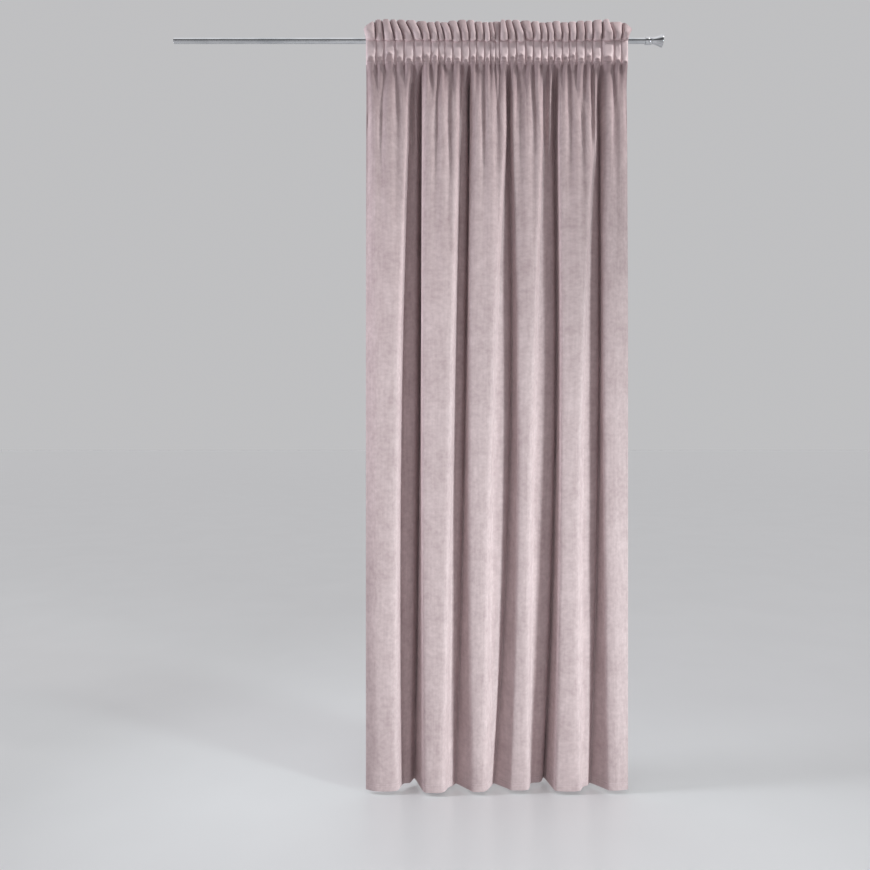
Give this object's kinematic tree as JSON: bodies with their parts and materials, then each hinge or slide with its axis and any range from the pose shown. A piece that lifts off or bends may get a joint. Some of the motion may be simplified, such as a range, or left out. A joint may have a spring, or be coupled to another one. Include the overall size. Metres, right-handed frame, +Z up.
{
  "type": "gathered tape top curtain hanging on a curtain rod",
  "caption": "Velvet curtain panel gathered on a woven heading tape, with a frilled top edge, on a thin chrome rod with a trumpet finial.",
  "frame": {"origin": "on the rod's axis, halfway across the gathered width of the curtain", "axes": "+Z up, +X along the rod towards the finial, -Y towards someone who faces the curtain"},
  "size_m": [1.7286, 0.1238, 2.7008],
  "materials": {
    "velvet": "dusty pink velvet with a short pile",
    "woven_tape": "plain woven polyester tape",
    "rod_chrome": "polished chrome"
  },
  "bodies": {
    "root": {"curtain_cloth": "velvet", "heading_tape": "woven_tape", "curtain_rod": "rod_chrome", "finial_collar": "rod_chrome", "finial_trumpet": "rod_chrome"}
  },
  "joints": []
}
